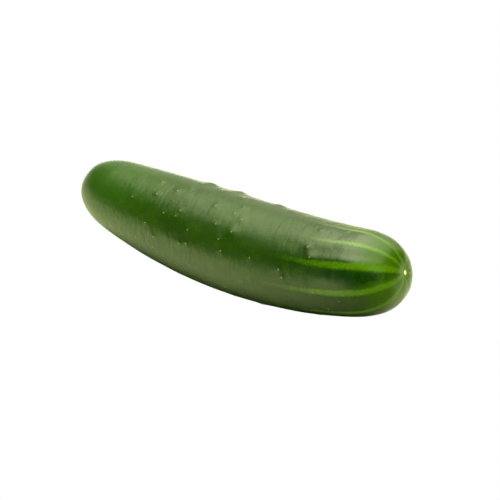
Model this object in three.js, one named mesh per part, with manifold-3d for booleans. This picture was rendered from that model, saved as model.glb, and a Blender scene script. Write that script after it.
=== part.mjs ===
// A slicing cucumber, lying on its belly: one solid, because it grew as one piece. Millimetres, +Z up.
//
// The fruit starts as a straight spindle turned round its own axis. Its skin is then raised in warts and
// low ribs, its two ends get their scars, and the whole is bent along a bow whose ends stand up.
// A place on the skin is named by its station, the distance from the stem end, and by its angle round the
// fruit: 0 degrees is the +Y side, 90 the top, 180 the -Y side and 270 the underside.

import * as THREE from "three";
import { mergeVertices } from "three/addons/utils/BufferGeometryUtils.js";
import Module from "manifold-3d";

// The body: a spindle that thins towards both ends and closes in two rounded caps.
const LENGTH = 200;
const BELLY_RADIUS = 26.5;
const BELLY_STATION = 100;
const STEM_END = { taper: 0.42, capLength: 24.3, roundness: 2.58 };
const BLOSSOM_END = { taper: 0.24, capLength: 27.6, roundness: 2.62 };

// The bow: how far the middle hangs below the ends, how much of that lies past the middle, how much flatter
// than a parabola the middle is, and how far the blossom end is tipped up.
const BOW_SAG = 12.8;
const BOW_SKEW = 0.26;
const BOW_FLATNESS = 0.17;
const TIP_UP_DEGREES = 1.5;

// The scars: a corky disc where the stalk broke off, and the small button that the flower left.
const STALK_SCAR = { radius: 3.8, height: 0.7, dimpleDepth: 2.2, dimpleRadius: 6.5 };
const FLOWER_SCAR = { radius: 1.3, height: 0.35, dimpleDepth: 0.8, dimpleRadius: 5 };

// The flower scar and the ribs are centred on a line that swings away from the fruit's axis near the tip.
const OFF_CENTRE = { across: 1.5, up: -0.3, from: 150, to: 198 };

// Low ribs that fan out from the flower scar and fade towards the middle of the fruit. The skin between them
// sinks by a share of their height, so that they don't thicken the fruit. A narrow ridge beside one of them
// stands higher, but only on the last part of the fruit.
const RIB_ANGLES = [8, 47, 87, 115, 146, 181, 216, 256, 293, 331];
const RIB_HEIGHT = 0.32;
const RIB_HALF_WIDTH_DEGREES = 9;
const RIB_SINK = 0.44;
const RIB_FADE = { from: 110, to: 170, radius: 22 };
const RIDGE = { angle: 140, halfWidthDegrees: 7, height: 0.4, from: 145, to: 178 };

// The warts on the top and on the -Y side, each by station, angle and height.
const SET_WARTS = [
  [41, 136, 0.25], [50, 188, 0.3], [52, 100, 0.3], [54, 120, 0.35], [55, 160, 0.35], [62, 173, 0.4],
  [62, 188, 0.35], [64, 140, 0.35], [64, 106, 0.3], [70, 94, 0.35], [72, 76, 0.35], [74, 62, 0.75],
  [72, 138, 0.3], [73, 130, 0.3], [79, 167, 0.45], [82, 148, 0.4], [83, 164, 0.3], [86, 80, 0.45],
  [86, 191, 0.35], [91, 109, 0.4], [92, 57, 0.85], [97, 131, 0.35], [100, 80, 0.45], [102, 146, 0.45],
  [104, 111, 0.35], [105, 158, 0.35], [106, 98, 0.45], [107, 207, 0.3], [108, 134, 0.65], [110, 116, 0.5],
  [119, 62, 0.65], [119, 187, 0.35], [123, 156, 0.35], [129, 72, 0.3], [141, 161, 0.4], [143, 170, 0.3],
  [155, 128, 0.5], [157, 100, 0.3], [158, 140, 0.6], [161, 183, 0.3], [166, 210, 0.3], [172, 88, 0.3],
  [174, 194, 0.3],
];

// The far side and the underside get scattered warts: thick over the stem half, thin over the blossom half.
const WART_COUNT = 104;
const WART_SPACING = 7.5;
const WART_HEIGHTS = { low: 0.25, high: 0.45 };
const WART_STATIONS = { first: 42, thickUntil: 126, last: 176 };
const SET_SIDE = { middle: 140, halfAngle: 92 };
const THIN_SHARE = 0.35;
const WART_SEED = 11;
const DEGREES_DOWN = 270;
const BARE_PATCH = { station: 104, halfLength: 34, halfAngle: 24 };

// The flat spot on the underside that the fruit rests on.
const REST_DEPTH = 0.45;

// The mesh.
const SIDES = 60;
const SKIN_STEP = 2.75;
const END_STEP = 0.5;
const END_STEP_GROWTH = 0.3;

const RADIANS = Math.PI / 180;
const { clamp, lerp, smoothstep } = THREE.MathUtils;

// How much of the full radius an end cap has at a distance from its tip.
function capShare(distance, { capLength, roundness }) {
  const inward = 1 - clamp(distance / capLength, 0, 1);
  return (1 - inward ** roundness) ** (1 / roundness);
}

// The spindle's radius before any relief.
function spindleRadius(station) {
  const end = station < BELLY_STATION ? STEM_END : BLOSSOM_END;
  const reach = station < BELLY_STATION ? BELLY_STATION : LENGTH - BELLY_STATION;
  const fromBelly = (station - BELLY_STATION) / reach;
  const caps = capShare(station, STEM_END) * capShare(LENGTH - station, BLOSSOM_END);
  return BELLY_RADIUS * (1 - end.taper * fromBelly ** 2) * caps;
}

// The angle and the radius of a place, counted from the line that swings out to the flower scar.
function roundFlowerScar({ x, y, z }) {
  const swing = smoothstep(x, OFF_CENTRE.from, OFF_CENTRE.to);
  const across = y - swing * OFF_CENTRE.across;
  const up = z - swing * OFF_CENTRE.up;
  return { angle: Math.atan2(up, across) / RADIANS, radius: Math.hypot(across, up) };
}

// How far the skin at a distance from the middle of a scar lies sunk below the plain cap.
function scarDepth(radius, scar) {
  const dimple = scar.dimpleDepth * Math.exp(-((radius / scar.dimpleRadius) ** 2));
  const edge = smoothstep(radius, 0.7 * scar.radius, 1.2 * scar.radius);
  return dimple - scar.height * (1 - edge);
}

// The smaller way round from one angle to another, in degrees.
function turnBetween(angle, other) {
  return Math.abs(((angle - other + 540) % 360) - 180);
}

// How far two places on the skin lie apart, where the fruit has this radius.
function skinDistance(place, other, radius) {
  const round = turnBetween(place.angle, other.angle) * RADIANS * radius;
  return Math.hypot(place.station - other.station, round);
}

// A repeatable stream of numbers from 0 to 1.
function numberStream(seed) {
  let state = seed;
  return () => {
    state = (Math.imul(state, 1664525) + 1013904223) >>> 0;
    return state / 2 ** 32;
  };
}

// The set warts and, by seeded draws, the scattered ones: none crowd each other or lie under the fruit.
function placeWarts() {
  const warts = SET_WARTS.map(([station, angle, height]) => ({ station, angle, height }));
  const draw = numberStream(WART_SEED);
  while (warts.length < WART_COUNT) {
    const wart = {
      station: lerp(WART_STATIONS.first, WART_STATIONS.last, draw()),
      angle: 360 * draw(),
      height: lerp(WART_HEIGHTS.low, WART_HEIGHTS.high, draw()),
    };
    const share = wart.station < WART_STATIONS.thickUntil ? 1 : THIN_SHARE;
    const kept = draw() < share && turnBetween(wart.angle, SET_SIDE.middle) > SET_SIDE.halfAngle;
    const underneath =
      turnBetween(wart.angle, DEGREES_DOWN) < BARE_PATCH.halfAngle &&
      Math.abs(wart.station - BARE_PATCH.station) < BARE_PATCH.halfLength;
    const free = warts.every((other) => skinDistance(wart, other, BELLY_RADIUS) > WART_SPACING);
    if (kept && free && !underneath) {
      warts.push(wart);
    }
  }
  return warts;
}

// A wart is a soft mound, and a higher one is also a wider one.
function wartRelief(place, radius, warts) {
  let relief = 0;
  for (const wart of warts) {
    const width = 1.8 + 2.4 * wart.height;
    relief += wart.height * Math.exp(-((skinDistance(place, wart, radius) / width) ** 2));
  }
  return relief;
}

// How far the ribs and the ridge beside one of them raise the skin.
function ribRelief(station, { angle, radius }) {
  const fade = smoothstep(station, RIB_FADE.from, RIB_FADE.to) * smoothstep(radius, 0, RIB_FADE.radius);
  let relief = -RIB_SINK;
  for (const rib of RIB_ANGLES) {
    relief += Math.exp(-((turnBetween(angle, rib) / RIB_HALF_WIDTH_DEGREES) ** 2));
  }
  const ridge = RIDGE.height * Math.exp(-((turnBetween(angle, RIDGE.angle) / RIDGE.halfWidthDegrees) ** 2));
  return fade * (RIB_HEIGHT * relief + ridge * smoothstep(station, RIDGE.from, RIDGE.to));
}

// Stations of the mesh's rings: evenly spaced over the skin, and close together round the two scars.
function ringStations() {
  const SAMPLES = 20000;
  const outline = [];
  let run = 0;
  for (let i = 0; i <= SAMPLES; i += 1) {
    const station = (LENGTH / 2) * (1 - Math.cos((Math.PI * i) / SAMPLES));
    const point = new THREE.Vector2(station, spindleRadius(station));
    run += i > 0 ? point.distanceTo(outline[i - 1].point) : 0;
    outline.push({ point, run });
  }
  const stations = [];
  let next = END_STEP;
  for (const sample of outline) {
    const fromEnd = Math.min(sample.run, run - sample.run);
    if (sample.run >= next && fromEnd >= END_STEP) {
      stations.push(sample.point.x);
      next = sample.run + Math.min(SKIN_STEP, END_STEP + END_STEP_GROWTH * fromEnd);
    }
  }
  return stations;
}

// The straight fruit: a turned spindle with its axis laid along +X and its poles closed on the axis.
function straightFruit() {
  const rings = ringStations().map((station) => new THREE.Vector2(spindleRadius(station), station));
  const profile = [new THREE.Vector2(0, 0), ...rings, new THREE.Vector2(0, LENGTH)];
  const lathe = new THREE.LatheGeometry(profile, SIDES);
  lathe.rotateZ(-Math.PI / 2);
  lathe.deleteAttribute("normal");
  lathe.deleteAttribute("uv");
  return mergeVertices(lathe);
}

// Moves a point of the straight fruit onto the bow: the section at its station turns with the bow's slope.
function moveOntoBow(point, station, across, up) {
  const along = (2 * station) / LENGTH - 1;
  const tipUp = Math.tan(TIP_UP_DEGREES * RADIANS);
  const drop = BOW_SAG * (1 - along ** 2) * (1 + BOW_SKEW * along + BOW_FLATNESS * along ** 2);
  const skewSlope = BOW_SKEW * (1 - 3 * along ** 2);
  const evenSlope = 2 * along * (1 - BOW_FLATNESS) + 4 * BOW_FLATNESS * along ** 3;
  const dropSlope = ((2 * BOW_SAG) / LENGTH) * (skewSlope - evenSlope);
  const slope = Math.atan(tipUp - dropSlope);
  const axisHeight = (LENGTH / 2) * along * tipUp - drop;
  point.x = station - LENGTH / 2 - up * Math.sin(slope);
  point.y = across;
  point.z = axisHeight + up * Math.cos(slope);
}

// Raises the warts and the ribs, sinks the end scars, and bends the fruit.
function shapeSkin(geometry) {
  const warts = placeWarts();
  const positions = geometry.getAttribute("position");
  const point = new THREE.Vector3();
  for (let i = 0; i < positions.count; i += 1) {
    point.fromBufferAttribute(positions, i);
    const radius = Math.hypot(point.y, point.z);
    const angle = Math.atan2(point.z, point.y);
    const place = { station: point.x, angle: angle / RADIANS };
    const flowerPlace = roundFlowerScar(point);
    const relief = wartRelief(place, radius, warts) + ribRelief(point.x, flowerPlace);
    const nearStem = point.x < BELLY_STATION;
    const sunk = nearStem ? scarDepth(radius, STALK_SCAR) : -scarDepth(flowerPlace.radius, FLOWER_SCAR);
    const out = radius + relief;
    moveOntoBow(point, point.x + sunk, out * Math.cos(angle), out * Math.sin(angle));
    positions.setXYZ(i, point.x, point.y, point.z);
  }
}

// Centres the fruit over the origin, with its lowest point just under the plane it rests on.
function setDown(geometry) {
  geometry.computeBoundingBox();
  const { min, max } = geometry.boundingBox;
  geometry.translate(-(min.x + max.x) / 2, -(min.y + max.y) / 2, -min.z - REST_DEPTH);
}

// Cuts away what lies under the plane z = 0, which leaves the flat spot.
async function cutRestSpot(geometry) {
  const wasm = await Module();
  wasm.setup();
  const solidOf = (shape) =>
    new wasm.Manifold(
      new wasm.Mesh({
        numProp: 3,
        vertProperties: shape.getAttribute("position").array,
        triVerts: new Uint32Array(shape.index.array),
      }),
    );
  const slab = new THREE.BoxGeometry(2 * LENGTH, LENGTH, LENGTH).translate(0, 0, -LENGTH / 2);
  slab.deleteAttribute("normal");
  slab.deleteAttribute("uv");
  const cut = solidOf(geometry).subtract(solidOf(mergeVertices(slab))).getMesh();
  const shape = new THREE.BufferGeometry();
  shape.setAttribute("position", new THREE.BufferAttribute(cut.vertProperties, cut.numProp));
  shape.setIndex(new THREE.BufferAttribute(cut.triVerts, 1));
  shape.computeVertexNormals();
  return shape;
}

const fruit = straightFruit();
shapeSkin(fruit);
setDown(fruit);

const cucumber = new THREE.Mesh(
  await cutRestSpot(fruit),
  new THREE.MeshStandardMaterial({ color: 0x2c5210, roughness: 0.38, metalness: 0 }),
);
cucumber.name = "cucumber";

const part = new THREE.Group();
part.add(cucumber);

export default part;
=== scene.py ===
# %% [markdown]
# # A slicing cucumber
#
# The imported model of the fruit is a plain, rather coarse solid. This lesson gives it its looks: a fine skin
# with warts and low ribs, a pale spine scar on each wart, the two scars at its ends, and a waxy green finish
# with paler stripes. Everything is made in the solid's own frame, so nothing has to be fitted afterwards.

# %% The frame
import math

import bpy
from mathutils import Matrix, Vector


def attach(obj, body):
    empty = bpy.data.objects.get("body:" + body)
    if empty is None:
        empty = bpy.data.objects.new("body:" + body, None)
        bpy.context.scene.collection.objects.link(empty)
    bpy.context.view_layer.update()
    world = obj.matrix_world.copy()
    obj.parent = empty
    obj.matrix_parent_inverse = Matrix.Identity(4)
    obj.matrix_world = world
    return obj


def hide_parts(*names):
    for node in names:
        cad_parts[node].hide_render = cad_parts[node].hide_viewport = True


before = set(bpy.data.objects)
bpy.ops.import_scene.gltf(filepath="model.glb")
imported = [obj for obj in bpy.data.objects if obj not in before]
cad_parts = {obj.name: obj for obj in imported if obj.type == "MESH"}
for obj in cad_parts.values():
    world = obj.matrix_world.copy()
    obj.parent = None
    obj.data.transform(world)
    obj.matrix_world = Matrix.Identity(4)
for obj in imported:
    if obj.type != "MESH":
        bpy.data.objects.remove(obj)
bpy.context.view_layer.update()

# %% [markdown]
# ## The measures
#
# A place on the skin has a station, which is its distance from the stem end, and an angle round the fruit:
# 0 degrees is the +Y side, 90 the top, 180 the -Y side and 270 the underside. The solid is made from these
# same measures, so the fine skin lies on the coarse one. Blender works in metres, and one factor turns the
# millimetres over.

# %% The measures of the body
MM = 0.001
LENGTH = 200 * MM
BELLY_RADIUS = 26.5 * MM
BELLY_STATION = 100 * MM
STEM_END = {"taper": 0.42, "cap_length": 24.3 * MM, "roundness": 2.58}
BLOSSOM_END = {"taper": 0.24, "cap_length": 27.6 * MM, "roundness": 2.62}
BOW_SAG = 12.8 * MM
BOW_SKEW = 0.26
BOW_FLATNESS = 0.17
TIP_UP = math.radians(1.5)
REST_DEPTH = 0.45 * MM
STALK_SCAR = {"radius": 3.8 * MM, "height": 0.7 * MM, "dimple_depth": 2.2 * MM, "dimple_radius": 6.5 * MM}
FLOWER_SCAR = {"radius": 1.3 * MM, "height": 0.35 * MM, "dimple_depth": 0.8 * MM, "dimple_radius": 5 * MM}
OFF_CENTRE = {"across": 1.5 * MM, "up": -0.3 * MM, "from": 150 * MM, "to": 198 * MM}
RIB_ANGLES = (8, 47, 87, 115, 146, 181, 216, 256, 293, 331)
RIB_HEIGHT = 0.32 * MM
RIB_HALF_WIDTH = math.radians(9)
RIB_SINK = 0.44
RIB_FADE = {"from": 110 * MM, "to": 170 * MM, "radius": 22 * MM}
RIDGE = {"angle": math.radians(140), "half_width": math.radians(7), "height": 0.4 * MM}
RIDGE_FADE = {"from": 145 * MM, "to": 178 * MM}
print("length", LENGTH, "and greatest thickness", 2 * BELLY_RADIUS)

# %% [markdown]
# ## Where the warts stand
#
# A cucumber's warts are scattered, thick over the stem half and thin over the blossom half. Those on the top
# and on the -Y side are listed one by one, by station in millimetres, angle in degrees and height in
# millimetres.
# The others are drawn from a seeded stream of numbers, the same one that the solid uses, so the fine warts
# stand on the coarse ones.

# %% The warts that are listed
SET_WARTS = (
    (41, 136, 0.25), (50, 188, 0.3), (52, 100, 0.3), (54, 120, 0.35), (55, 160, 0.35), (62, 173, 0.4),
    (62, 188, 0.35), (64, 140, 0.35), (64, 106, 0.3), (70, 94, 0.35), (72, 76, 0.35), (74, 62, 0.75),
    (72, 138, 0.3), (73, 130, 0.3), (79, 167, 0.45), (82, 148, 0.4), (83, 164, 0.3), (86, 80, 0.45),
    (86, 191, 0.35), (91, 109, 0.4), (92, 57, 0.85), (97, 131, 0.35), (100, 80, 0.45), (102, 146, 0.45),
    (104, 111, 0.35), (105, 158, 0.35), (106, 98, 0.45), (107, 207, 0.3), (108, 134, 0.65), (110, 116, 0.5),
    (119, 62, 0.65), (119, 187, 0.35), (123, 156, 0.35), (129, 72, 0.3), (141, 161, 0.4), (143, 170, 0.3),
    (155, 128, 0.5), (157, 100, 0.3), (158, 140, 0.6), (161, 183, 0.3), (166, 210, 0.3), (172, 88, 0.3),
    (174, 194, 0.3),
)
print(len(SET_WARTS), "warts are set by hand")

# %% The scattered warts
WART_COUNT = 104
WART_SPACING = 7.5
WART_HEIGHTS = {"low": 0.25, "high": 0.45}
WART_STATIONS = {"first": 42, "thick_until": 126, "last": 176}
SET_SIDE = {"middle": 140, "half_angle": 92}
THIN_SHARE = 0.35
WART_SEED = 11
DEGREES_DOWN = 270
BARE_PATCH = {"station": 104, "half_length": 34, "half_angle": 24}
STREAM = {"factor": 1664525, "step": 1013904223, "range": 2**32}


def number_stream(seed):
    """A repeatable stream of numbers from 0 to 1."""
    state = seed
    while True:
        state = (state * STREAM["factor"] + STREAM["step"]) % STREAM["range"]
        yield state / STREAM["range"]


def turn_between(angle, other):
    """The smaller way round from one angle to another, in degrees."""
    return abs((angle - other + 540) % 360 - 180)


def has_room(station, angle, warts):
    """Whether a place lies off the side of the listed warts and off the bare underside, and clear of the
    other warts.
    """
    on_set_side = turn_between(angle, SET_SIDE["middle"]) <= SET_SIDE["half_angle"]
    by_angle = turn_between(angle, DEGREES_DOWN) < BARE_PATCH["half_angle"]
    by_station = abs(station - BARE_PATCH["station"]) < BARE_PATCH["half_length"]
    if on_set_side or (by_angle and by_station):
        return False
    for other_station, other_angle, _ in warts:
        round_the_fruit = math.radians(turn_between(angle, other_angle)) * BELLY_RADIUS / MM
        if math.hypot(station - other_station, round_the_fruit) <= WART_SPACING:
            return False
    return True


def place_warts():
    """Station in millimetres, angle in degrees and height in millimetres of every wart."""
    warts = list(SET_WARTS)
    draw = number_stream(WART_SEED)
    while len(warts) < WART_COUNT:
        station = WART_STATIONS["first"] + (WART_STATIONS["last"] - WART_STATIONS["first"]) * next(draw)
        angle = 360 * next(draw)
        height = WART_HEIGHTS["low"] + (WART_HEIGHTS["high"] - WART_HEIGHTS["low"]) * next(draw)
        kept = next(draw) < (1 if station < WART_STATIONS["thick_until"] else THIN_SHARE)
        if kept and has_room(station, angle, warts):
            warts.append((station, angle, height))
    return warts


warts = place_warts()
print(len(warts), "warts in all")

# %% [markdown]
# Geometry Nodes can't read a Python list, but they can read a mesh. So the warts become a mesh of loose
# points that carry their measures as attributes.


# %% The warts as points
def wart_points(warts):
    """A mesh of loose points, one for each wart, that carries its station, angle and height."""
    mesh = bpy.data.meshes.new("wart_points")
    mesh.from_pydata([(0, 0, 0)] * len(warts), [], [])
    columns = {
        "wart_station": [station * MM for station, _, _ in warts],
        "wart_angle": [math.radians(angle) for _, angle, _ in warts],
        "wart_height": [height * MM for _, _, height in warts],
    }
    for name, values in columns.items():
        mesh.attributes.new(name, "FLOAT", "POINT").data.foreach_set("value", values)
    return bpy.data.objects.new("wart_points", mesh)


wart_object = wart_points(warts)
print("attributes:", [attribute.name for attribute in wart_object.data.attributes])

# %% [markdown]
# ## Writing nodes as formulas
#
# The shape and the finish both follow formulas. Drawn by hand they would be hundreds of Math nodes, so a
# small class lets Python's own arithmetic add those nodes: where two fields are multiplied, a Multiply node
# appears and its output is the product. The same class serves Geometry Nodes and shader nodes.


# %% A field and what can be done with it
class Field:
    """A value that nodes work out. Arithmetic on it adds the nodes that do the arithmetic."""

    def __init__(self, tree, socket):
        self.tree = tree
        self.socket = socket

    def math(self, operation, *others, clamp=False):
        """The result of a Math node of this operation."""
        return field(self.tree, "ShaderNodeMath", (self, *others), operation=operation, use_clamp=clamp)

    def __add__(self, other):
        return self.math("ADD", other)

    def __sub__(self, other):
        return self.math("SUBTRACT", other)

    def __mul__(self, other):
        return self.math("MULTIPLY", other)

    def __truediv__(self, other):
        return self.math("DIVIDE", other)

    def __pow__(self, other):
        return self.math("POWER", other)

    def __neg__(self):
        return self * -1

    def __rsub__(self, other):
        return -self + other

    __radd__ = __add__
    __rmul__ = __mul__


# %% Adding a node and feeding its inputs
def node(tree, kind, inputs=(), **settings):
    """A new node. inputs is a dict by socket name, or a sequence in the order of the sockets."""
    made = tree.nodes.new(kind)
    for name, value in settings.items():
        setattr(made, name, value)
    pairs = inputs.items() if isinstance(inputs, dict) else enumerate(inputs)
    for key, value in pairs:
        feed(tree, made.inputs[key], value)
    return made


def feed(tree, socket, value):
    """Links a field or a socket to an input, or sets the input to a plain value."""
    source = value.socket if isinstance(value, Field) else value
    if isinstance(source, bpy.types.NodeSocket):
        tree.links.new(source, socket)
    else:
        socket.default_value = source


def field(tree, kind, inputs=(), output=0, **settings):
    """The output of a new node, as a field."""
    return Field(tree, node(tree, kind, inputs, **settings).outputs[output])


def split(tree, vector):
    """The three parts of a vector, as fields."""
    parts = node(tree, "ShaderNodeSeparateXYZ", [vector]).outputs
    return [Field(tree, part) for part in parts]


def joined(tree, *parts):
    """A vector made of three parts."""
    return field(tree, "ShaderNodeCombineXYZ", parts)


# %% The few formulas that come back again and again
def sine(angle):
    return angle.math("SINE")


def cosine(angle):
    return angle.math("COSINE")


def root(value):
    return value.math("SQRT")


def at_least(value, low):
    return value.math("MAXIMUM", low)


def at_most(value, high):
    return value.math("MINIMUM", high)


def smooth_step(value, low, high):
    """0 below low, 1 above high and an S-shaped climb between."""
    inputs = {"Value": value, "From Min": low, "From Max": high}
    return field(value.tree, "ShaderNodeMapRange", inputs, interpolation_type="SMOOTHSTEP")


def bell(value, width):
    """1 where the value is 0, falling away on both sides: a bell curve of this width."""
    return (-((value / width) ** 2.0)).math("EXPONENT")


def off_angle(angle, centre):
    """How far an angle lies from a centre, with no jump where the count of degrees starts again."""
    return root((1 - cosine(angle - centre)) * 2.0)


def total(fields):
    """The sum of a list of fields."""
    return sum(fields[1:], fields[0])


# %% [markdown]
# ## The skin's shape
#
# A cucumber swells from a flower, so every section across it is nearly round and only its size changes along
# the fruit. It could be sculpted, but it follows a rule, and a rule can be measured and changed. So Geometry
# Nodes work it out: a ball of rings is stretched into a straight spindle, the warts, ribs and scars move its
# skin in or out, and the spindle is bent along a bow. The rings are shared out between the two caps and the
# body so that they stand about evenly.

# %% The named sizes that the tree takes
SIZES = {
    "Length": LENGTH,
    "Belly Radius": BELLY_RADIUS,
    "Belly Station": BELLY_STATION,
    "Stem Taper": STEM_END["taper"],
    "Stem Cap": STEM_END["cap_length"],
    "Stem Roundness": STEM_END["roundness"],
    "Blossom Taper": BLOSSOM_END["taper"],
    "Blossom Cap": BLOSSOM_END["cap_length"],
    "Blossom Roundness": BLOSSOM_END["roundness"],
    "Bow Sag": BOW_SAG,
    "Bow Skew": BOW_SKEW,
    "Bow Flatness": BOW_FLATNESS,
    "Tip Up": math.tan(TIP_UP),
    "Rib Height": RIB_HEIGHT,
    "Ridge Height": RIDGE["height"],
    "Unevenness": 0.36 * MM,
    "Spine Radius": 0.25 * MM,
    "Spine Height": 0.2 * MM,
}
SIDES = 250
RINGS = 360
STEM_SHARE = 0.15
BLOSSOM_SHARE = 0.19
print(len(SIZES), "sizes, and", SIDES, "points on each of", RINGS, "rings")


# %% The spindle: where each ring stands, and how wide it is
def cap(progress, cap_length, roundness):
    """Distance from the tip, and share of the full radius, at this progress over a rounded end cap."""
    turn = progress ** (roundness / 2.0) * (math.pi / 2)
    power = (roundness**-1.0) * 2.0
    inward = at_least(cosine(turn), 0.0) ** power
    return (1 - inward) * cap_length, at_least(sine(turn), 0.0) ** power


def taper(given, station):
    """Share of the belly's radius that the body has at a station, before the caps round it off."""
    belly = given["Belly Station"]
    to_stem = at_least((belly - station) / belly, 0.0)
    to_blossom = at_least((station - belly) / (given["Length"] - belly), 0.0)
    return 1 - to_stem**2.0 * given["Stem Taper"] - to_blossom**2.0 * given["Blossom Taper"]


def spindle(given, progress):
    """Station and radius of the ring that is this share of the way along the rings."""
    from_stem = at_most(progress / STEM_SHARE, 1.0)
    from_blossom = at_most((1 - progress) / BLOSSOM_SHARE, 1.0)
    between = ((progress - STEM_SHARE) / (1 - STEM_SHARE - BLOSSOM_SHARE)).math("ADD", 0.0, clamp=True)
    stem_reach, stem_cap = cap(from_stem, given["Stem Cap"], given["Stem Roundness"])
    blossom_reach, blossom_cap = cap(from_blossom, given["Blossom Cap"], given["Blossom Roundness"])
    body_length = given["Length"] - given["Stem Cap"] - given["Blossom Cap"]
    station = stem_reach + between * body_length + (given["Blossom Cap"] - blossom_reach)
    return station, given["Belly Radius"] * taper(given, station) * stem_cap * blossom_cap


# %% [markdown]
# Ten low ribs fan out from the flower scar and fade towards the middle of the fruit. They could be sculpted,
# but as one bell curve each their width and height are single numbers. The skin between them sinks by as much
# as they stand out, so that they don't thicken the fruit. A narrow ridge beside one of them parts the
# highlight from the dark band.
#
# At each tip the skin sinks in a dimple, and a small disc stands in it: the cork where the stalk broke off,
# and the button that the flower left. The button stands a little off the fruit's own axis, and the ribs lead
# to the button.


# %% Angle and radius round the flower scar
def round_flower_scar(station, across, up):
    """The angle and the radius of a place, counted from an axis that swings out to the flower scar."""
    swing = smooth_step(station, OFF_CENTRE["from"], OFF_CENTRE["to"])
    across = across - swing * OFF_CENTRE["across"]
    up = up - swing * OFF_CENTRE["up"]
    return up.math("ARCTAN2", across), root(across**2.0 + up**2.0)


# %% Relief of the ribs and of the two end scars
SCAR_EDGE = {"inner": 0.7, "outer": 1.2}


def rib_relief(given, station, angle, radius):
    """How far the ribs and the ridge beside one of them raise the skin."""
    fade = smooth_step(station, RIB_FADE["from"], RIB_FADE["to"])
    fade = fade * smooth_step(radius, 0.0, RIB_FADE["radius"])
    lines = [bell(off_angle(angle, math.radians(rib)), RIB_HALF_WIDTH) for rib in RIB_ANGLES]
    relief = (total(lines) - RIB_SINK) * given["Rib Height"]
    ridge = bell(off_angle(angle, RIDGE["angle"]), RIDGE["half_width"]) * given["Ridge Height"]
    return (relief + ridge * smooth_step(station, RIDGE_FADE["from"], RIDGE_FADE["to"])) * fade


def scar_depth(radius, scar):
    """How far the skin at this distance from the end's axis lies sunk below the plain cap."""
    dimple = bell(radius, scar["dimple_radius"]) * scar["dimple_depth"]
    edge = smooth_step(radius, SCAR_EDGE["inner"] * scar["radius"], SCAR_EDGE["outer"] * scar["radius"])
    return dimple - (1 - edge) * scar["height"]


def end_shift(given, station, from_stalk, from_flower):
    """How far the scars move the skin along the fruit: forwards at the stem end, back at the other."""
    near_blossom = (station - given["Belly Station"]).math("GREATER_THAN", 0.0)
    at_stem = scar_depth(from_stalk, STALK_SCAR) * (1 - near_blossom)
    return at_stem - scar_depth(from_flower, FLOWER_SCAR) * near_blossom


# %% [markdown]
# The fruit hung by its stalk while it grew, and its weight and its leaves bent it. A curve modifier could
# bend the mesh, but the solid couldn't share it, and a formula can be written in both. It moves each section
# down by the bow's drop and turns it with the bow's slope, so that sections stay square to the bent axis.


# %% The bow
def on_bow(tree, given, station, across, up):
    """The place, before the fruit is set down, of a point of the straight fruit."""
    skew, flatness = given["Bow Skew"], given["Bow Flatness"]
    along = station * 2.0 / given["Length"] - 1.0
    squared = along**2.0
    drop = (1 - squared) * (along * skew + squared * flatness + 1.0) * given["Bow Sag"]
    skew_slope = (1 - squared * 3.0) * skew
    even_slope = along * 2.0 * (1 - flatness) + along * squared * flatness * 4.0
    drop_slope = (skew_slope - even_slope) * given["Bow Sag"] * 2.0 / given["Length"]
    slope = (given["Tip Up"] - drop_slope).math("ARCTANGENT")
    height = along * given["Length"] / 2.0 * given["Tip Up"] - drop
    forward = station - given["Length"] / 2.0 - up * sine(slope)
    return joined(tree, forward, across, height + up * cosine(slope))


# %% [markdown]
# A wart is a soft mound. A hundred of them would be a very long formula, so a repeat zone takes them one by
# one: each turn reads one wart from the points, adds its mound to a stored number called "relief", and keeps
# the distance to the nearest wart for the finish. The coarse solid needs wide mounds to show any. Here they
# are as narrow as on a real fruit, and the low ones are hardly there.

# %% Storing and reading back numbers by name
LEAST_WIDTH = 0.8 * MM
WIDTH_PER_HEIGHT = 4.0
FULL_HEIGHT = 0.8 * MM


def named(tree, name):
    """A stored number, read back by its name."""
    return field(tree, "GeometryNodeInputNamedAttribute", {"Name": name}, data_type="FLOAT")


def store(tree, geometry, name, value, kind="FLOAT"):
    """The geometry with a value stored on its points under a name."""
    inputs = {"Geometry": geometry, "Name": name, "Value": value}
    return node(tree, "GeometryNodeStoreNamedAttribute", inputs, data_type=kind).outputs[0]


# %% The warts, one turn of a repeat zone for each
def raise_warts(tree, geometry, points, station, angle, radius):
    """Stores on the mesh how far the warts raise it, and how near each place is to a wart's middle."""
    start = node(tree, "GeometryNodeRepeatInput")
    end = node(tree, "GeometryNodeRepeatOutput")
    start.pair_with_output(end)
    feed(tree, start.inputs["Iterations"], len(warts))
    feed(tree, start.inputs["Geometry"], geometry)

    def of_wart(name):
        inputs = {"Geometry": points, "Value": named(tree, name), "Index": start.outputs["Iteration"]}
        return field(tree, "GeometryNodeSampleIndex", inputs, data_type="FLOAT", domain="POINT")

    height = of_wart("wart_height")
    along = station - of_wart("wart_station")
    around = off_angle(angle, of_wart("wart_angle")) * radius
    distance = root(along**2.0 + around**2.0)
    width = height * WIDTH_PER_HEIGHT + LEAST_WIDTH
    mound = bell(distance, width) * height * at_most(height / FULL_HEIGHT, 1.0)
    raised = store(tree, start.outputs["Geometry"], "relief", named(tree, "relief") + mound)
    nearest = at_most(named(tree, "to_wart"), distance)
    feed(tree, end.inputs["Geometry"], store(tree, raised, "to_wart", nearest))
    return end.outputs["Geometry"]


# %% [markdown]
# ## The straight fruit and the bent fruit
#
# The straight fruit is worth keeping in mind after it is bent: stripes, streaks and blotches are easy to
# describe on it. So each point stores its place on the straight fruit under the name "straight", and the
# finish reads that later.


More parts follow.
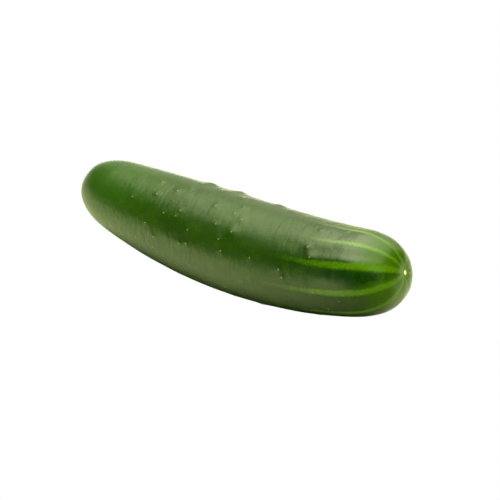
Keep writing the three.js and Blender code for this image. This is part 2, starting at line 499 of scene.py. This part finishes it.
# %% The straight fruit
def straight_fruit(tree, given):
    """A spindle along +X. Every point carries its own place, and numbers for the warts to fill in."""
    ball = node(tree, "GeometryNodeMeshUVSphere", {"Segments": SIDES, "Rings": RINGS, "Radius": 1.0})
    x, y, z = split(tree, node(tree, "GeometryNodeInputPosition").outputs[0])
    from_pole = at_most(at_least(z, -1.0), 1.0).math("ARCCOSINE") / math.pi
    angle = y.math("ARCTAN2", x)
    station, radius = spindle(given, 1 - from_pole)
    place = joined(tree, station, cosine(angle) * radius, sine(angle) * radius)
    mesh = store(tree, ball.outputs["Mesh"], "straight", place, kind="FLOAT_VECTOR")
    mesh = store(tree, mesh, "relief", z * 0.0)
    return store(tree, mesh, "to_wart", z * 0.0 + given["Length"])


# %% The bent fruit
UNEVEN_SCALE = 90.0
EVEN_TIPS = 8 * MM


def noise(tree, place, scale, detail=2.0):
    """Soft noise from 0 to 1. The scale is in features a metre."""
    return field(tree, "ShaderNodeTexNoise", {"Vector": place, "Scale": scale, "Detail": detail})


def sway(tree, place, scale, detail=2.0):
    """The same noise, but to both sides of 0."""
    return noise(tree, place, scale, detail) - 0.5


def bent_fruit(tree, given, mesh, points):
    """The straight fruit with its relief, moved onto the bow."""
    place = field(tree, "GeometryNodeInputNamedAttribute", {"Name": "straight"}, data_type="FLOAT_VECTOR")
    station, across, up = split(tree, place)
    angle, radius = up.math("ARCTAN2", across), root(across**2.0 + up**2.0)
    scar_angle, scar_radius = round_flower_scar(station, across, up)
    mesh = raise_warts(tree, mesh, points, station, angle, radius)
    uneven = sway(tree, place, UNEVEN_SCALE) * given["Unevenness"] * smooth_step(radius, 0.0, EVEN_TIPS)
    out = radius + named(tree, "relief") + rib_relief(given, station, scar_angle, scar_radius) + uneven
    shifted = station + end_shift(given, station, radius, scar_radius)
    bent = on_bow(tree, given, shifted, out * cosine(angle), out * sine(angle))
    return node(tree, "GeometryNodeSetPosition", {"Geometry": mesh, "Position": bent}).outputs[0]


# %% [markdown]
# The fruit is set down so that its lowest point would lie a little under the floor, and what would lie under
# the floor is pressed flat. That is the small spot that it rests on, as in the solid. A Boolean could cut it
# flat too, but pressing moves points only, so the mesh stays closed and even.


# %% Setting the fruit down
def set_down(tree, mesh):
    """The mesh, centred over the origin and pressed flat where it rests, and how far it was moved."""
    reach = node(tree, "GeometryNodeBoundBox", {"Geometry": mesh})
    low, high = split(tree, reach.outputs["Min"]), split(tree, reach.outputs["Max"])
    shift = joined(tree, (low[0] + high[0]) * -0.5, (low[1] + high[1]) * -0.5, -low[2] - REST_DEPTH)
    moved = node(tree, "GeometryNodeSetPosition", {"Geometry": mesh, "Offset": shift}).outputs[0]
    x, y, z = split(tree, node(tree, "GeometryNodeInputPosition").outputs[0])
    pressed = joined(tree, x, y, at_least(z, 0.0))
    flat = node(tree, "GeometryNodeSetPosition", {"Geometry": moved, "Position": pressed}).outputs[0]
    return node(tree, "GeometryNodeSetShadeSmooth", {"Geometry": flat}).outputs[0], shift


# %% [markdown]
# ## The spine scars
#
# A young cucumber has a spine on each wart. It rubs off and leaves a dry, pale speck about half a millimetre
# wide. The specks are real little domes, not paint, so they catch the light. One dome is placed on every wart
# as an instance, turned square to the skin and varied a little in size from a fixed seed.

# %% Standing a dome on each wart
DOME_SIDES = 8
DOME_RINGS = 5
DOME_SEED = 3
DOME_RANGE = {"Min": (0.75, 0.75, 0.8), "Max": (1.2, 1.2, 1.1), "Seed": DOME_SEED}


def spine_domes(tree, given, mesh, points, shift):
    """The domes, as real geometry."""
    station, angle = named(tree, "wart_station"), named(tree, "wart_angle")
    radius = given["Belly Radius"] * taper(given, station)
    near_skin = on_bow(tree, given, station, radius * cosine(angle), radius * sine(angle))
    moves = {"Geometry": points, "Position": near_skin, "Offset": shift}
    points = node(tree, "GeometryNodeSetPosition", moves).outputs[0]
    position = node(tree, "GeometryNodeInputPosition").outputs[0]

    def of_skin(value):
        inputs = {"Mesh": mesh, "Sample Position": position, "Value": value}
        return field(tree, "GeometryNodeSampleNearestSurface", inputs, data_type="FLOAT_VECTOR")

    normal = of_skin(node(tree, "GeometryNodeInputNormal").outputs[0])
    foot = of_skin(position)
    points = node(tree, "GeometryNodeSetPosition", {"Geometry": points, "Position": foot}).outputs[0]
    dome_sizes = {"Segments": DOME_SIDES, "Rings": DOME_RINGS, "Radius": 1.0}
    dome = node(tree, "GeometryNodeMeshUVSphere", dome_sizes).outputs["Mesh"]
    dome = node(tree, "GeometryNodeSetShadeSmooth", {"Geometry": dome}).outputs[0]
    variety = field(tree, "FunctionNodeRandomValue", DOME_RANGE, data_type="FLOAT_VECTOR")
    size = joined(tree, given["Spine Radius"], given["Spine Radius"], given["Spine Height"])
    instances = {
        "Points": points,
        "Instance": dome,
        "Rotation": field(tree, "FunctionNodeAlignRotationToVector", {"Vector": normal}, axis="Z"),
        "Scale": field(tree, "ShaderNodeVectorMath", (variety, size), operation="MULTIPLY"),
    }
    domes = node(tree, "GeometryNodeInstanceOnPoints", instances).outputs[0]
    domes = node(tree, "GeometryNodeRealizeInstances", [domes]).outputs[0]
    return store(tree, domes, "is_spine", station * 0.0 + 1.0)


# %% [markdown]
# ## The whole tree
#
# The tree has a named input for each size, one for the wart points and one for each material. It ends with
# Realize Instances and Set Material, so that its result is one plain mesh.

# %% Putting the tree together
SKIN = bpy.data.materials.new("waxy_skin")
SPINE = bpy.data.materials.new("spine_scar")
SOCKETS = {name: ("Float", value) for name, value in SIZES.items()}
SOCKETS |= {
    "Wart Points": ("Object", wart_object),
    "Skin": ("Material", SKIN),
    "Spine": ("Material", SPINE),
}


def fruit_tree():
    """The tree that grows the cucumber."""
    tree = bpy.data.node_groups.new("Cucumber", "GeometryNodeTree")
    tree.interface.new_socket("Geometry", in_out="OUTPUT", socket_type="NodeSocketGeometry")
    for label, (kind, _) in SOCKETS.items():
        tree.interface.new_socket(label, in_out="INPUT", socket_type="NodeSocket" + kind)
    entry = node(tree, "NodeGroupInput")
    given = {label: Field(tree, entry.outputs[label]) for label in SOCKETS}
    points = node(tree, "GeometryNodeObjectInfo", {"Object": given["Wart Points"]}).outputs["Geometry"]
    skin, shift = set_down(tree, bent_fruit(tree, given, straight_fruit(tree, given), points))
    together = node(tree, "GeometryNodeJoinGeometry")
    for part in (spine_domes(tree, given, skin, points, shift), skin):
        feed(tree, together.inputs[0], part)
    whole = node(tree, "GeometryNodeRealizeInstances", [together.outputs[0]]).outputs[0]
    on_skin = {"Geometry": whole, "Material": given["Skin"]}
    whole = node(tree, "GeometryNodeSetMaterial", on_skin).outputs[0]
    on_spines = {"Geometry": whole, "Selection": named(tree, "is_spine"), "Material": given["Spine"]}
    node(tree, "NodeGroupOutput", [node(tree, "GeometryNodeSetMaterial", on_spines).outputs[0]])
    return tree


growth = fruit_tree()
print("the tree has", len(growth.nodes), "nodes")

# %% [markdown]
# A modifier on an empty object runs the tree. Its inputs are set by the identifier of each socket before it
# first runs. The result is then copied into a plain mesh, because a finished piece is easier to hand on than
# a live modifier.


# %% Growing the fruit
def grow(tree, name):
    """Runs the tree on an empty object, and returns its result as a plain mesh object."""
    seedling = bpy.data.objects.new("seedling", bpy.data.meshes.new("seedling"))
    bpy.context.scene.collection.objects.link(seedling)
    modifier = seedling.modifiers.new("growth", "NODES")
    modifier.node_group = tree
    for item in tree.interface.items_tree:
        if item.in_out == "INPUT":
            modifier[item.identifier] = SOCKETS[item.name][1]
    graph = bpy.context.evaluated_depsgraph_get()
    mesh = bpy.data.meshes.new_from_object(seedling.evaluated_get(graph), depsgraph=graph)
    bpy.data.objects.remove(seedling)
    if mesh.materials[0] is None:  # the tree may leave an empty first slot
        mesh.materials.pop(index=0)
    for spent in ("relief", "is_spine", "wart_station", "wart_angle", "wart_height"):
        mesh.attributes.remove(mesh.attributes[spent])
    piece = bpy.data.objects.new(name, mesh)
    bpy.context.scene.collection.objects.link(piece)
    return piece


cucumber = grow(growth, "cucumber_skin")
triangles = sum(len(face.vertices) - 2 for face in cucumber.data.polygons)
print("the skin has", triangles, "triangles and measures", tuple(cucumber.dimensions))
print("materials:", [material.name for material in cucumber.data.materials])
print("attributes:", [attribute.name for attribute in cucumber.data.attributes])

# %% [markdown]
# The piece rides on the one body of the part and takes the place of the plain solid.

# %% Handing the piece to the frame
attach(cucumber, "root")
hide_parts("cucumber")
print(cucumber.name, "stands for the plain solid")

# %% [markdown]
# ## The skin's finish
#
# A cucumber's skin is dark green, a little lighter at the stem end and darkest between the stripes near the
# flower scar, with a fine mottle all over. One nearly black area below the ridge there is painted shade. An
# image could be wrapped round it, but noise and formulas on the straight fruit have no seam, no limit of
# sharpness and no stretched poles. Every part of the finish takes the same handful of numbers: the place on
# the straight fruit, its radius, its angle and radius round the flower scar, and the distance to the nearest
# wart.


# %% Tools for the finish
def shader_of(material):
    """The material's node tree and its main shader."""
    material.use_nodes = True
    return material.node_tree, material.node_tree.nodes["Principled BSDF"]


def skin_place(tree):
    """The numbers that every part of the finish starts from."""
    place = node(tree, "ShaderNodeAttribute", attribute_name="straight").outputs["Vector"]
    station, across, up = split(tree, place)
    to_wart = node(tree, "ShaderNodeAttribute", attribute_name="to_wart").outputs["Fac"]
    scar_angle, scar_radius = round_flower_scar(station, across, up)
    return {
        "place": place,
        "station": station,
        "across": across,
        "up": up,
        "radius": root(across**2.0 + up**2.0),
        "scar_angle": scar_angle,
        "scar_radius": scar_radius,
        "to_wart": Field(tree, to_wart),
    }


def blend(tree, share, first, second):
    """The first colour where the share is 0, and the second where it is 1."""
    mix = node(tree, "ShaderNodeMix", data_type="RGBA")
    sockets = [socket for socket in mix.inputs if socket.enabled]
    for socket, value in zip(sockets, (share, first, second)):
        feed(tree, socket, value)
    return next(socket for socket in mix.outputs if socket.enabled)


# %% The ground colour
STEM_GREEN = (0.0135, 0.050, 0.0001, 1)
BODY_GREEN = (0.0072, 0.028, 0.0001, 1)
BLOSSOM_GREEN = (0.0050, 0.023, 0.0001, 1)
TIP_GREEN = (0.024, 0.065, 0.0002, 1)
# Painted shade: the nearly black green of an area below the ridge, where the skin faces down, away from the
# light.
PAINTED_SHADE_GREEN = (0.0002, 0.017, 0.0003, 1)
LIGHT_GREEN = (0.024, 0.066, 0.0002, 1)
DRIFT = {"scale": 70.0, "reach": 20 * MM}
BODY_SPAN = (10 * MM, 75 * MM)
BLOSSOM_SPAN = (115 * MM, 150 * MM)
TIP_SPAN = (180 * MM, 196 * MM)
# Where the painted shade lies, below the ridge near the flower scar.
PAINTED_SHADE_AREA = {"station": 181 * MM, "angle": math.radians(160), "half_length": 16 * MM, "half_width": 3.8 * MM}
PAINTED_SHADE_EDGE = {"scale": 500.0, "detail": 3.0, "span": (0.6, 1.5)}
MOTTLE = {"coarse": 160.0, "fine": 1100.0, "span": (0.42, 0.72), "strength": 0.4}


def ground_colour(tree, on):
    """Dark green, lighter at the stem end and round the flower scar, with painted shade: one nearly black
    area below the ridge.
    """
    station = on["station"] + sway(tree, on["place"], DRIFT["scale"]) * DRIFT["reach"]
    colour = blend(tree, smooth_step(station, *BODY_SPAN), STEM_GREEN, BODY_GREEN)
    colour = blend(tree, smooth_step(station, *BLOSSOM_SPAN), colour, BLOSSOM_GREEN)
    colour = blend(tree, smooth_step(on["station"], *TIP_SPAN), colour, TIP_GREEN)
    # A nearly black area below the ridge is painted shade.
    along = (on["station"] - PAINTED_SHADE_AREA["station"]) / PAINTED_SHADE_AREA["half_length"]
    around = off_angle(on["scar_angle"], PAINTED_SHADE_AREA["angle"]) * on["scar_radius"] / PAINTED_SHADE_AREA["half_width"]
    ragged = sway(tree, on["place"], PAINTED_SHADE_EDGE["scale"], PAINTED_SHADE_EDGE["detail"])
    painted_shade_mask = 1 - smooth_step(root(along**2.0 + around**2.0) + ragged, *PAINTED_SHADE_EDGE["span"])
    colour = blend(tree, painted_shade_mask, colour, PAINTED_SHADE_GREEN)
    mottle = noise(tree, on["place"], MOTTLE["coarse"]) * 0.5 + noise(tree, on["place"], MOTTLE["fine"]) * 0.5
    return blend(tree, smooth_step(mottle, *MOTTLE["span"]) * MOTTLE["strength"], colour, LIGHT_GREEN)


print("the dark patch reaches", 2 * PAINTED_SHADE_AREA["half_length"], "along the fruit")

# %% [markdown]
# Ten paler stripes run along the ribs and meet at the flower scar. On the fruit a stripe is not a painted
# line: it starts as a faint scatter of pale grains near the middle, gains strength towards the scar, has soft
# edges, and wanders a little. So each stripe is a band along its rib whose strength climbs along the fruit,
# broken up by grain.

# %% The stripes
STRIPE_GREEN = (0.048, 0.122, 0.0003, 1)
STRIPES = (
    {"starts": 125, "full": 176, "half_width": 1.7},
    {"starts": 130, "full": 178, "half_width": 1.4},
    {"starts": 146, "full": 180, "half_width": 1.5},
    {"starts": 138, "full": 190, "half_width": 1.4},
    {"starts": 128, "full": 192, "half_width": 2.4},
    {"starts": 126, "full": 178, "half_width": 2.0},
    {"starts": 138, "full": 178, "half_width": 1.7},
    {"starts": 130, "full": 178, "half_width": 1.8},
    {"starts": 135, "full": 182, "half_width": 1.5},
    {"starts": 130, "full": 180, "half_width": 1.6},
)
WANDER = {"scale": 90.0, "angle": math.radians(2.5)}
RAGGED = {"scale": 800.0, "angle": math.radians(4)}
PATCHY = {"scale": 130.0, "reach": 24 * MM}
GRAIN = {"scale": 1100.0, "detail": 3.0, "least": 0.1, "gain": 1.8}
CONVERGING = 5 * MM


def stripe_share(stripe, rib, on, angle, patchy):
    """How strongly one stripe colours a place. Its stations and its half width are in millimetres."""
    away = off_angle(angle, math.radians(rib)) * on["scar_radius"]
    strength = smooth_step(on["station"] + patchy, stripe["starts"] * MM, stripe["full"] * MM)
    narrowing = on["scar_radius"] / (on["scar_radius"] + CONVERGING)
    half_width = narrowing * (strength * 0.5 + 0.5) * (stripe["half_width"] * MM)
    return bell((away / half_width) ** 2.0, 1.0) * strength


def striped(tree, on, colour):
    """The colour with the stripes laid over it."""
    wander = sway(tree, on["place"], WANDER["scale"]) * WANDER["angle"]
    wander = wander + sway(tree, on["place"], RAGGED["scale"]) * RAGGED["angle"]
    angle = on["scar_angle"] + wander
    patchy = sway(tree, on["place"], PATCHY["scale"]) * PATCHY["reach"]
    share = total([stripe_share(*pair, on, angle, patchy) for pair in zip(STRIPES, RIB_ANGLES)])
    grain = noise(tree, on["place"], GRAIN["scale"], GRAIN["detail"]) * GRAIN["gain"] + GRAIN["least"]
    return blend(tree, at_most(share * grain, 1.0), colour, STRIPE_GREEN)


print(len(STRIPES), "stripes")

# %% [markdown]
# Round each wart the skin is a little paler. The cork at the stalk end and the button at the flower end are
# dry and have no green, and the skin next to the button is a shade lighter. They could be painted by hand,
# but each place already knows how far it is from a wart and from the two scars, so each is one soft disc.

# %% Warts and scars
WART_GREEN = (0.10, 0.19, 0.02, 1)
CORK = (0.24, 0.17, 0.075, 1)
CORK_DARK = (0.085, 0.055, 0.025, 1)
BUTTON = (0.68, 0.60, 0.34, 1)
COLLAR_GREEN = (0.07, 0.15, 0.02, 1)
HALO = {"inner": 0.2 * MM, "outer": 1.0 * MM, "strength": 0.3}
CORK_GRAIN = {"scale": 900.0, "detail": 4.0, "span": (0.4, 0.6)}
COLLAR = {"radius": 2 * FLOWER_SCAR["radius"], "strength": 0.2}
DISC_EDGE = {"inner": 0.75, "outer": 1.05}


def off_disc(radius, reach):
    """0 on a disc of this reach, 1 off it, and a soft edge between."""
    return smooth_step(radius, DISC_EDGE["inner"] * reach, DISC_EDGE["outer"] * reach)


def near_stalk(on, reach):
    """1 on a disc of this radius round the stalk scar, 0 off it."""
    return (1 - off_disc(on["radius"], reach)) * (1 - on["station"] / LENGTH)


def near_flower(on, reach):
    """1 on a disc of this radius round the flower scar, 0 off it."""
    return (1 - off_disc(on["scar_radius"], reach)) * on["station"] / LENGTH


def scarred(tree, on, colour):
    """The colour with the surround of the warts and the two end scars laid over it."""
    halo = 1 - smooth_step(on["to_wart"], HALO["inner"], HALO["outer"])
    colour = blend(tree, halo * HALO["strength"], colour, WART_GREEN)
    grain = noise(tree, on["place"], CORK_GRAIN["scale"], CORK_GRAIN["detail"])
    cork = blend(tree, smooth_step(grain, *CORK_GRAIN["span"]), CORK, CORK_DARK)
    colour = blend(tree, near_stalk(on, STALK_SCAR["radius"]), colour, cork)
    colour = blend(tree, near_flower(on, COLLAR["radius"]) * COLLAR["strength"], colour, COLLAR_GREEN)
    return blend(tree, near_flower(on, FLOWER_SCAR["radius"]), colour, BUTTON)


print("the cork is", 2 * STALK_SCAR["radius"], "wide and the button", 2 * FLOWER_SCAR["radius"])

# %% [markdown]
# ## The skin's gloss
#
# The skin is waxed by the plant itself, so it has a broad, soft sheen rather than a mirror's shine. Fine
# growth lines run round the fruit, about a millimetre apart, and show where a highlight fades. They stand out
# most low on the stem half. The skin also swells a little round each wart. All this is about a tenth of a
# millimetre high. It could be modelled, but only with millions of faces, so a bump bends the light as it
# would.

# %% The fine relief
BUMP_DEPTH = 0.11 * MM
LINES = {"along": 800.0, "round": 4.0, "height": 0.4, "patch_height": 0.7}
LONG_LINES = {"along": 330.0, "round": 2.2, "height": 1.5}
LINE_PATCHES = {"scale": 45.0, "span": (0.35, 0.65)}
LOW_SIDE = {"up": (5 * MM, 15 * MM), "station": (70 * MM, 140 * MM), "gain": 2.2}
PORES = {"scale": 1000.0, "height": 0.4}
SMOOTH_TIPS = (14 * MM, 24 * MM)
SWELLING_WIDTH = 1.6 * MM


def growth_lines(tree, on, lines):
    """Noise that is drawn out round the fruit, so that it reads as lines."""
    turn_x, turn_y = on["across"] / on["radius"], on["up"] / on["radius"]
    place = joined(tree, on["station"] * lines["along"], turn_x * lines["round"], turn_y * lines["round"])
    return noise(tree, place, 1.0)


def fine_relief(tree, on):
    """The bump of the growth lines, of the pores and of the swelling round each wart."""
    patches = smooth_step(noise(tree, on["place"], LINE_PATCHES["scale"]), *LINE_PATCHES["span"])
    lines = growth_lines(tree, on, LINES) * (patches * LINES["patch_height"] + LINES["height"])
    lines = lines + growth_lines(tree, on, LONG_LINES) * LONG_LINES["height"]
    low = 1 - smooth_step(on["up"], *LOW_SIDE["up"])
    low_at_stem = low * (1 - smooth_step(on["station"], *LOW_SIDE["station"]))
    pores = noise(tree, on["place"], PORES["scale"]) * PORES["height"]
    height = (lines * (1 + low_at_stem * LOW_SIDE["gain"]) + pores) * smooth_step(on["radius"], *SMOOTH_TIPS)
    height = height + bell(on["to_wart"], SWELLING_WIDTH)
    return field(tree, "ShaderNodeBump", {"Height": height, "Strength": 1.0, "Distance": BUMP_DEPTH})


print("the fine relief is about", BUMP_DEPTH, "high")

# %% [markdown]
# The gloss isn't the same all over. It is satin at the stem end and a little sharper towards the flower scar,
# where the skin is tightest. High on the -Y side of the blossom end a second, clear layer of wax gives the
# highlight a brighter core. The dry scars have next to no gloss. An even gloss would be simpler, but it would
# look like moulded plastic.

# %% The gloss
STEM_ROUGHNESS = 0.45
SHARPER = ({"span": (5 * MM, 60 * MM), "by": 0.08}, {"span": (130 * MM, 172 * MM), "by": 0.07})
BLOOM = {"scale": 200.0, "strength": 0.06}
DRYNESS = 0.4
CLEAR_WAX = {
    "starts": (150 * MM, 170 * MM),
    "ends": (180 * MM, 191 * MM),
    "up": (-4 * MM, 8 * MM),
    "across": (-3 * MM, 7 * MM),
    "strength": 0.42,
}


def roughness(tree, on):
    """Satin at the stem end, glossier towards the flower scar, and dry on the scars."""
    satin = STEM_ROUGHNESS
    for step in SHARPER:
        satin = satin - smooth_step(on["station"], *step["span"]) * step["by"]
    uneven = sway(tree, on["place"], BLOOM["scale"]) * BLOOM["strength"]
    dry = near_stalk(on, STALK_SCAR["radius"]) + near_flower(on, FLOWER_SCAR["radius"])
    return satin + uneven + dry * DRYNESS


def clear_wax(on):
    """How thick the second layer of wax lies."""
    starts = smooth_step(on["station"], *CLEAR_WAX["starts"])
    ends = 1 - smooth_step(on["station"], *CLEAR_WAX["ends"])
    high = smooth_step(on["up"], *CLEAR_WAX["up"])
    near_side = 1 - smooth_step(on["across"], *CLEAR_WAX["across"])
    return starts * ends * high * near_side * CLEAR_WAX["strength"]


print("the roughness is", STEM_ROUGHNESS, "at the stem end")

# %% Finishing the skin
WAX_TINT = (0.92, 1.0, 0.80, 1)
WAX_IOR = 1.52
WAX_ROUGHNESS = 0.24


def finish_skin(material):
    """Lays the ground colour, the stripes, the scars, the relief and the gloss on the skin."""
    tree, shader = shader_of(material)
    on = skin_place(tree)
    feed(tree, shader.inputs["Base Color"], scarred(tree, on, striped(tree, on, ground_colour(tree, on))))
    feed(tree, shader.inputs["Roughness"], roughness(tree, on))
    feed(tree, shader.inputs["Normal"], fine_relief(tree, on))
    feed(tree, shader.inputs["Coat Weight"], clear_wax(on))
    shader.inputs["Coat Roughness"].default_value = WAX_ROUGHNESS
    shader.inputs["IOR"].default_value = WAX_IOR
    shader.inputs["Specular Tint"].default_value = WAX_TINT
    print(material.name, "has", len(tree.nodes), "nodes")


finish_skin(SKIN)

# %% [markdown]
# A spine scar is dead, dry tissue: straw-coloured and matt. It is too small to show any pattern, so one
# colour and one roughness do, set straight on the shader.

# %% Finishing the spine scars
STRAW = (0.24, 0.22, 0.10, 1)
MATT = 0.6
tree, shader = shader_of(SPINE)
shader.inputs["Base Color"].default_value = STRAW
shader.inputs["Roughness"].default_value = MATT
print(SPINE.name, "is one plain finish")

# %% [markdown]
# ## The floor
#
# The fruit lies on plain white paper, lit so strongly that it reads as pure white. The paper could be lit
# that strongly here too, but then it would flood the skin with light from below. So it glows white to the
# camera alone. To everything else it is paper with painted shade that deepens towards the right, and with a
# painted shadow, a soft dark spot where the fruit keeps the light off it, and the skin mirrors both. Behind
# the fruit on the left a strip of it glows, and the skin's upper edge mirrors that as a pale rim.

# %% How the paper is shaded, in metres from the middle of the fruit
WHITE = (1, 1, 1, 1)
BLACK = (0, 0, 0, 1)
PAPER_LEFT = (0.88, 0.87, 0.72, 1)
# Painted shade: the dark grey that the paper takes towards the right, which the camera never sees.
PAPER_IN_PAINTED_SHADE = (0.09, 0.09, 0.06, 1)
# Painted shadow: the grey of the soft dark spot under the fruit.
PAINTED_SHADOW_GREY = (0.03, 0.03, 0.02, 1)
SLANT = 0.5
# Where the painted shade on the paper deepens, and how much less of it there is behind the fruit.
PAINTED_SHADE_RAMP = {"span": (-0.04, 0.13), "behind": (-0.02, 0.01), "less_behind": 0.7}
# The size and soft edge of the painted shadow under the fruit.
PAINTED_SHADOW = {"half_length": 0.112, "front": 0.04, "back": 0.012, "edge": (0.3, 1.0)}
STRIP = {"near": (0.05, 0.12), "far": (0.35, 0.5), "right": (-0.02, 0.06), "strength": 2.5}


def paper_with_painted_shade(tree, y, to_right):
    """The paper with painted shade, which deepens towards the right, and less so behind the fruit."""
    painted_shade_share = smooth_step(to_right, *PAINTED_SHADE_RAMP["span"])
    painted_shade_share = painted_shade_share * (1 - smooth_step(y, *PAINTED_SHADE_RAMP["behind"]) * PAINTED_SHADE_RAMP["less_behind"])
    return blend(tree, painted_shade_share, PAPER_LEFT, PAPER_IN_PAINTED_SHADE)


def with_painted_shadow(tree, x, y, colour):
    """The colour with the painted shadow under the fruit laid over it: a soft dark spot where the fruit keeps
    the light off.
    """
    along = (x / PAINTED_SHADOW["half_length"]) ** 2.0
    across = at_least(y / -PAINTED_SHADOW["front"], y / PAINTED_SHADOW["back"])
    edge = smooth_step(root(along**2.0 + across**2.0), *PAINTED_SHADOW["edge"])
    return blend(tree, edge, PAINTED_SHADOW_GREY, colour)


def on_strip(y, to_right):
    """1 on the strip that glows, 0 off it."""
    depth = smooth_step(y, *STRIP["near"]) * (1 - smooth_step(y, *STRIP["far"]))
    return depth * (1 - smooth_step(to_right, *STRIP["right"]))


print("the dark spot is", 2 * PAINTED_SHADOW["half_length"], "m long")


# %% Making the floor
FLOOR_SIDE = 6.0


def make_paper():
    """The paper's material."""
    paper = bpy.data.materials.new("paper")
    tree, shader = shader_of(paper)
    x, y, _ = split(tree, node(tree, "ShaderNodeTexCoord").outputs["Object"])
    to_right = x + at_least(y, 0.0) * SLANT
    # The paper's colour is painted shade and a painted shadow, which the camera never sees.
    colour = with_painted_shadow(tree, x, y, paper_with_painted_shade(tree, y, to_right))
    to_camera = field(tree, "ShaderNodeLightPath", output="Is Camera Ray")
    glow = on_strip(y, to_right) * (1 - to_camera) * STRIP["strength"] + to_camera
    feed(tree, shader.inputs["Base Color"], blend(tree, to_camera, colour, BLACK))
    feed(tree, shader.inputs["Emission Strength"], glow)
    shader.inputs["Emission Color"].default_value = WHITE
    shader.inputs["Roughness"].default_value = 1.0
    shader.inputs["Specular IOR Level"].default_value = 0.0
    return paper


def make_floor():
    """A wide sheet of paper."""
    bpy.ops.mesh.primitive_plane_add(size=FLOOR_SIDE)
    floor = bpy.context.object
    floor.name = "floor"
    floor.data.materials.append(make_paper())
    return floor


floor = make_floor()
print("the floor is", FLOOR_SIDE, "m wide")

# %% [markdown]
# ## The light
#
# A round soft box hangs over the fruit, with a brighter middle, as such boxes have. It draws the broad
# highlight along the top. A white wall behind the fruit helps the glowing strip to make the pale rim along
# the upper edge, and the paper in front draws the lower highlight. The room in front is dark, which leaves
# the dark band between the two. Two more lights brighten the paper and the green of the skin, and the skin
# doesn't mirror them. Bare lamps would be simpler, but a waxy skin mirrors the shape of its lights, so each
# box is as large as a real one and stands where it would.

# %% The soft boxes
WARM_WHITE = (0.96, 1.0, 0.66)


def soft_box(name, shape, place, aim, size, radiance):
    """An area light that faces its aim. The size is its width and depth, the radiance its brightness."""
    light = bpy.data.lights.new(name, "AREA")
    light.shape = shape
    light.size, light.size_y = size
    light.color = WARM_WHITE
    face = size[0] * size[1] * (math.pi / 4 if shape == "ELLIPSE" else 1)
    light.energy = radiance * face * math.pi
    box = bpy.data.objects.new(name, light)
    box.location = place
    box.rotation_mode = "QUATERNION"
    box.rotation_quaternion = (Vector(aim) - Vector(place)).to_track_quat("-Z", "Y")
    box.visible_camera = False
    bpy.context.scene.collection.objects.link(box)
    return box


boxes = [
    soft_box("overhead", "ELLIPSE", (-0.05, 0.21, 0.55), (-0.05, 0.21, 0), (0.88, 1.1), 2.55),
    soft_box("overhead_middle", "ELLIPSE", (-0.1, 0.15, 0.54), (-0.1, 0.15, 0), (0.5, 0.68), 2.2),
    soft_box("wall", "RECTANGLE", (-0.95, 1.2, 0.52), (-0.95, 0, 0.52), (2.5, 0.7), 1.7),
    soft_box("high_fill", "RECTANGLE", (-0.2, -0.14, 0.9), (-0.1, -0.1, 0), (0.5, 0.5), 9.0),
    soft_box("right_fill", "RECTANGLE", (0.5, -0.4, 0.3), (0.08, 0, 0.03), (0.4, 0.4), 11.0),
]
for fill in boxes[-2:]:
    fill.visible_glossy = False
print(len(boxes), "lights")


# %% The room
def make_room():
    """White to the camera, and dark to everything else."""
    world = bpy.data.worlds.new("room")
    bpy.context.scene.world = world
    world.use_nodes = True
    tree = world.node_tree
    background = tree.nodes["Background"]
    background.inputs["Color"].default_value = WHITE
    tree.links.new(node(tree, "ShaderNodeLightPath").outputs["Is Camera Ray"], background.inputs["Strength"])
    return world


print("the room is called", make_room().name)

# %% [markdown]
# ## The camera
#
# A long lens looks down on the fruit at 30 degrees, from the side of its blossom end. A shorter one, closer
# by, would swell the near end. The view is shifted a little, which moves the fruit in the frame without
# turning the camera.

# %% The camera
AZIMUTH = math.radians(33.2)
ELEVATION = math.radians(30)
DISTANCE = 1.0
AIM = Vector((-1.27 * MM, -0.05 * MM, 38.58 * MM))
LENS = 136
FRAME_SHIFT = (0.0233, -0.0521)


def make_camera():
    """A levelled camera that looks at the aim from the given side and height."""
    level = math.cos(ELEVATION)
    back = Vector((math.sin(AZIMUTH) * level, -math.cos(AZIMUTH) * level, math.sin(ELEVATION)))
    camera = bpy.data.objects.new("camera", bpy.data.cameras.new("camera"))
    camera.data.lens = LENS
    camera.data.shift_x, camera.data.shift_y = FRAME_SHIFT
    camera.location = AIM + back * DISTANCE
    camera.rotation_mode = "QUATERNION"
    camera.rotation_quaternion = (-back).to_track_quat("-Z", "Y")
    bpy.context.scene.collection.objects.link(camera)
    return camera


bpy.context.scene.camera = make_camera()
bpy.context.scene.view_settings.view_transform = "Standard"
print("the camera stands at", tuple(bpy.context.scene.camera.location))
